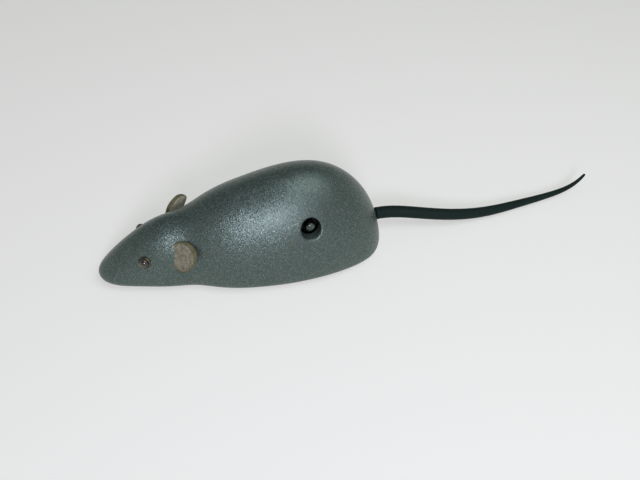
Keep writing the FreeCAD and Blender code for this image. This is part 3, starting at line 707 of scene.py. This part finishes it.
class Nodes:
    """Short words for building one material's nodes. Scales are in spots per metre."""

    def __init__(self, name):
        self.material = bpy.data.materials.new(name)
        self.material.use_nodes = True
        self.tree = self.material.node_tree
        self.shader = self.tree.nodes["Principled BSDF"]
        coordinates = self.add("ShaderNodeTexCoord")
        self.place = coordinates.outputs["Object"]

    def add(self, kind, inputs=None, **settings):
        node = self.tree.nodes.new(kind)
        for name, value in settings.items():
            setattr(node, name, value)
        for name, value in (inputs or {}).items():
            self.give(node.inputs[name], value)
        return node

    def give(self, socket, value):
        if isinstance(value, bpy.types.NodeSocket):
            self.tree.links.new(value, socket)
        else:
            socket.default_value = value

    def surface(self, **values):
        for name, value in values.items():
            self.give(self.shader.inputs[name.replace("_", " ")], value)

    def noise(self, scale, detail=4.0, roughness=0.6, place=None):
        return self.add("ShaderNodeTexNoise", {
            "Vector": place or self.place, "Scale": scale, "Detail": detail, "Roughness": roughness,
        }).outputs["Fac"]

    def cells(self, scale):
        return self.add("ShaderNodeTexVoronoi", {
            "Vector": self.place, "Scale": scale, "Randomness": 1.0,
        }).outputs["Color"]

    def stretched(self, scale):
        return self.add("ShaderNodeMapping", {"Vector": self.place, "Scale": scale}).outputs["Vector"]

    def ramp(self, value, low, high, start=0.0, end=1.0):
        return self.add("ShaderNodeMapRange", {
            "Value": value, "From Min": start, "From Max": end, "To Min": low, "To Max": high,
        }).outputs["Result"]

    def math(self, operation, first, second):
        return self.add("ShaderNodeMath", {0: first, 1: second}, operation=operation).outputs[0]

    def mix(self, amount, first, second):
        node = self.add("ShaderNodeMix", {0: amount, 6: first, 7: second}, data_type="RGBA")
        return node.outputs[2]

    def mottle(self, base, tone, strength, start, end, scale, detail, roughness=0.6):
        """Noisy patches of another tone over a base colour."""
        patches = self.ramp(self.noise(scale, detail, roughness), 0.0, 1.0, start, end)
        return self.mix(self.math("MULTIPLY", patches, strength), base, tone)

    def vector(self, operation, first, second=(0.0, 0.0, 0.0)):
        node = self.add("ShaderNodeVectorMath", {0: first, 1: second}, operation=operation)
        return node.outputs[0]

    def bump(self, height, strength, distance):
        return self.add("ShaderNodeBump", {
            "Height": height, "Strength": strength, "Distance": distance,
        }).outputs["Normal"]


def colour(red, green, blue):
    """Linear colour of screen values from 0 to 255."""
    def linear(value):
        value /= 255
        return value / 12.92 if value <= 0.04045 else ((value + 0.055) / 1.055) ** 2.4
    return (linear(red), linear(green), linear(blue), 1.0)


def enamel():
    """Grey enamel full of fine metal flakes, mottled and a little worn."""
    dark, pale, glint = colour(53, 68, 62), colour(101, 119, 112), colour(196, 206, 212)
    worn, stained, speck = colour(95, 102, 96), colour(88, 86, 62), colour(34, 44, 40)
    nodes = Nodes("flake_enamel")
    fine, coarse = nodes.cells(scale=9000.0), nodes.cells(scale=5600.0)
    # Each flake tips the surface a little its own way
    normal = nodes.add("ShaderNodeNewGeometry").outputs["Normal"]
    for cells, amount in ((fine, 0.28), (coarse, 0.12)):
        spread = nodes.vector("SUBTRACT", cells, (0.5, 0.5, 0.5))
        push = nodes.vector("MULTIPLY", spread, (amount, amount, amount))
        normal = nodes.vector("NORMALIZE", nodes.vector("ADD", normal, push))
    shade = nodes.add("ShaderNodeSeparateColor", {"Color": fine}).outputs["Red"]
    sparkle = nodes.add("ShaderNodeSeparateColor", {"Color": coarse}).outputs["Green"]
    base = nodes.mix(shade, dark, pale)
    base = nodes.mottle(base, worn, 0.30, start=0.42, end=0.7, scale=260.0, detail=5.0, roughness=0.7)
    base = nodes.mottle(base, stained, 0.35, start=0.62, end=0.72, scale=170.0, detail=4.0)
    base = nodes.mottle(base, speck, 0.5, start=0.70, end=0.76, scale=1300.0, detail=2.0, roughness=0.5)
    bright = nodes.ramp(sparkle, 0.0, 1.0, start=0.90, end=0.95)
    base = nodes.mix(nodes.math("MULTIPLY", bright, 0.24), base, glint)
    nodes.surface(
        Base_Color=base, Metallic=0.62, Roughness=nodes.ramp(nodes.noise(scale=300.0), 0.34, 0.40),
        Normal=normal, Coat_Weight=0.15, Coat_Roughness=0.35,
    )
    return nodes.material


def leather(name, light, deep):
    """Taupe leather with a felt-like grain."""
    nodes = Nodes(name)
    fibres = nodes.noise(scale=2600.0, detail=6.0, roughness=0.75)
    blotches = nodes.noise(scale=1100.0, detail=5.0, roughness=0.7)
    base = nodes.mix(nodes.ramp(blotches, 0.0, 1.0, start=0.35, end=0.65), deep, light)
    base = nodes.mix(nodes.ramp(fibres, 0.0, 0.5, start=0.4, end=0.75), base, light)
    nodes.surface(
        Base_Color=base, Roughness=0.9, Sheen_Weight=0.15, Sheen_Roughness=0.5,
        Specular_IOR_Level=0.25, Normal=nodes.bump(fibres, strength=0.7, distance=0.25 * MM),
    )
    return nodes.material


def bead_glass():
    """Dark glass bead."""
    nodes = Nodes("eye_glass")
    swirl = nodes.ramp(nodes.noise(scale=600.0), 0.0, 1.0, start=0.35, end=0.7)
    nodes.surface(
        Base_Color=nodes.mix(swirl, colour(30, 30, 27), colour(66, 63, 54)),
        Roughness=nodes.ramp(nodes.noise(scale=900.0), 0.05, 0.12),
        IOR=1.52, Coat_Weight=0.6, Coat_Roughness=0.04,
    )
    return nodes.material


def metal(name, light, deep, roughness, grain=None, scale=700.0, bump=0.05):
    """Plain metal with faint streaks or mottling."""
    nodes = Nodes(name)
    place = nodes.stretched(grain) if grain else nodes.place
    streaks = nodes.noise(scale, detail=5.0, place=place)
    base = nodes.mix(nodes.ramp(streaks, 0.0, 1.0, start=0.3, end=0.7), light, deep)
    base = nodes.mottle(base, deep, 0.3, start=0.4, end=0.7, scale=160.0, detail=4.0)
    nodes.surface(
        Base_Color=base, Metallic=1.0,
        Roughness=nodes.ramp(streaks, roughness * 0.8, roughness * 1.3),
        Normal=nodes.bump(streaks, strength=bump, distance=0.04 * MM),
    )
    return nodes.material


def rubber(name, light, deep, roughness, scale, shine):
    """Dark rubber with a fine moulded grain."""
    nodes = Nodes(name)
    grain = nodes.noise(scale, detail=5.0, roughness=0.7)
    dust = nodes.ramp(nodes.noise(scale=220.0), 0.0, 0.6, start=0.5, end=0.8)
    nodes.surface(
        Base_Color=nodes.mix(dust, deep, light),
        Roughness=nodes.ramp(grain, roughness - 0.08, roughness + 0.1),
        Specular_IOR_Level=shine, Normal=nodes.bump(grain, strength=0.25, distance=0.08 * MM),
    )
    return nodes.material


def dress(name, material):
    """Gives a CAD node a material."""
    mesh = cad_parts[name].data
    mesh.materials.clear()
    mesh.materials.append(material)


build_body().data.materials.append(enamel())
leathers = [
    leather("ear_leather", colour(173, 165, 142), colour(106, 102, 83)),
    leather("ear_leather_cut", colour(122, 117, 88), colour(92, 88, 60)),
    # Much lighter copy of the leather for the ears' back faces: painted light, standing in for the lamp
    # light that the head's shade keeps off the far ear
    leather("ear_leather_back_painted_light", colour(210, 204, 176), colour(150, 145, 116)),
]
for name, stance, mirror in (
    ("left_ear", left_ear_stance, False), ("right_ear", right_ear_stance, True),
):
    ear = build_ear(name, stance, mirror)
    for material in leathers:
        ear.data.materials.append(material)
glass = bead_glass()
cup_brass = metal("eye_brass", colour(132, 124, 92), colour(74, 70, 50), roughness=0.38)
for name, mirror in (("left", False), ("right", True)):
    for kind, piece in build_eye(name, mirror):
        piece.data.materials.append(glass if kind == "bead" else cup_brass)
tail_material = rubber(
    "tail_rubber", colour(28, 52, 46), colour(14, 34, 30), roughness=0.62, scale=1500.0, shine=0.2
)
build_tail().data.materials.append(tail_material)
polished = metal(
    "polished_steel", colour(150, 152, 148), colour(96, 98, 94), roughness=0.34, scale=900.0, bump=0.02
)
# The arbor's steel is a darker, greener copy of the polished steel: a painted dark and green reflection
# on the end that sits in the winding hole
arbor_steel_painted_reflection = metal(
    "arbor_steel_painted_reflection", colour(104, 114, 106), colour(62, 70, 64), roughness=0.26, scale=900.0, bump=0.02
)
build_arbor().data.materials.append(arbor_steel_painted_reflection)
wheel_material = rubber(
    "wheel_rubber", colour(58, 58, 58), colour(32, 32, 33), roughness=0.62, scale=1800.0, shine=0.4
)
for name, mirror in (("left", True), ("right", False)):
    build_wheel(name, mirror).data.materials.append(wheel_material)
build_roller().data.materials.append(wheel_material)

tinplate = metal(
    "tinplate", colour(186, 186, 180), colour(140, 141, 138), roughness=0.32,
    grain=(40.0, 900.0, 40.0), scale=3.0,
)
spring_steel = metal("spring_steel", colour(112, 118, 132), colour(70, 76, 92), roughness=0.28)
brass = metal("gear_brass", colour(208, 178, 108), colour(160, 130, 70), roughness=0.3)
for material, names in (
    (tinplate, (
        "base_plate", "left_side_plate", "right_side_plate", "front_tie_bar", "rear_tie_bar",
        "roller_bracket",
    )),
    (spring_steel, ("mainspring", "pawl_spring", "pawl", "ratchet_wheel")),
    (polished, ("second_arbor", "drive_axle", "front_axle")),
    (brass, ("great_wheel", "second_pinion", "second_wheel", "drive_pinion")),
):
    for name in names:
        dress(name, material)


# Floor, lights and camera

def build_floor():
    """Plain pale floor that sweeps up into a low wall all round."""
    profile = [(0.0, 0.0), (floor_ring_radius, 0.0)]
    profile += arc((floor_radius, floor_sweep), floor_sweep, 270, 360, floor_sweep_steps)
    profile.append((floor_radius + floor_sweep, floor_wall_height))
    points, faces = turned(profile, floor_sides, (0, 0, 0), (0, 0, 1), (1, 0, 0))
    floor = smooth_object("floor", points, faces, floor_weld_distance)
    nodes = Nodes("floor_pale")
    path = nodes.add("ShaderNodeLightPath")
    seen = nodes.math("MAXIMUM", path.outputs["Is Camera Ray"], path.outputs["Is Glossy Ray"])
    seen = nodes.math("MAXIMUM", seen, path.outputs["Is Transmission Ray"])
    nodes.surface(
        Base_Color=nodes.mix(seen, colour(152, 170, 148), colour(198, 198, 195)), Roughness=0.9,
        Specular_IOR_Level=0.1, Emission_Color=colour(240, 240, 236),
        Emission_Strength=nodes.math("MULTIPLY", seen, floor_glow),
    )
    floor.data.materials.append(nodes.material)


def area_light(name, place, target, size, watts, tint):
    """Round soft light aimed at a point."""
    light = bpy.data.lights.new(name, "AREA")
    light.shape = "DISK"
    light.size = size
    light.energy = watts
    light.color = tint
    lamp = bpy.data.objects.new(name, light)
    lamp.location = place
    lamp.rotation_euler = (Vector(target) - Vector(place)).to_track_quat("-Z", "Y").to_euler()
    bpy.context.scene.collection.objects.link(lamp)


def build_camera():
    """Camera at the photograph's viewing angle."""
    forward = Vector(camera_forward).normalized()
    level = forward.cross(Vector((0, 0, 1))).normalized()
    upward = level.cross(forward)
    roll = math.radians(camera_roll)
    right = level * math.cos(roll) - upward * math.sin(roll)
    up = upward * math.cos(roll) + level * math.sin(roll)
    data = bpy.data.cameras.new("camera")
    data.sensor_width = camera_sensor_width
    data.lens = camera_lens
    data.clip_start = camera_clip_start
    camera = bpy.data.objects.new("camera", data)
    turn = Matrix((right, up, -forward)).transposed().to_4x4()
    camera.matrix_world = Matrix.Translation(camera_place) @ turn
    bpy.context.scene.collection.objects.link(camera)
    bpy.context.scene.camera = camera


build_floor()
area_light("key", *key_light)
area_light("fill", *fill_light)
build_camera()
world = bpy.data.worlds.new("studio")
world.use_nodes = True
world.node_tree.nodes["Background"].inputs["Color"].default_value = world_colour
world.node_tree.nodes["Background"].inputs["Strength"].default_value = world_strength
bpy.context.scene.world = world
bpy.context.scene.view_settings.view_transform = "Standard"
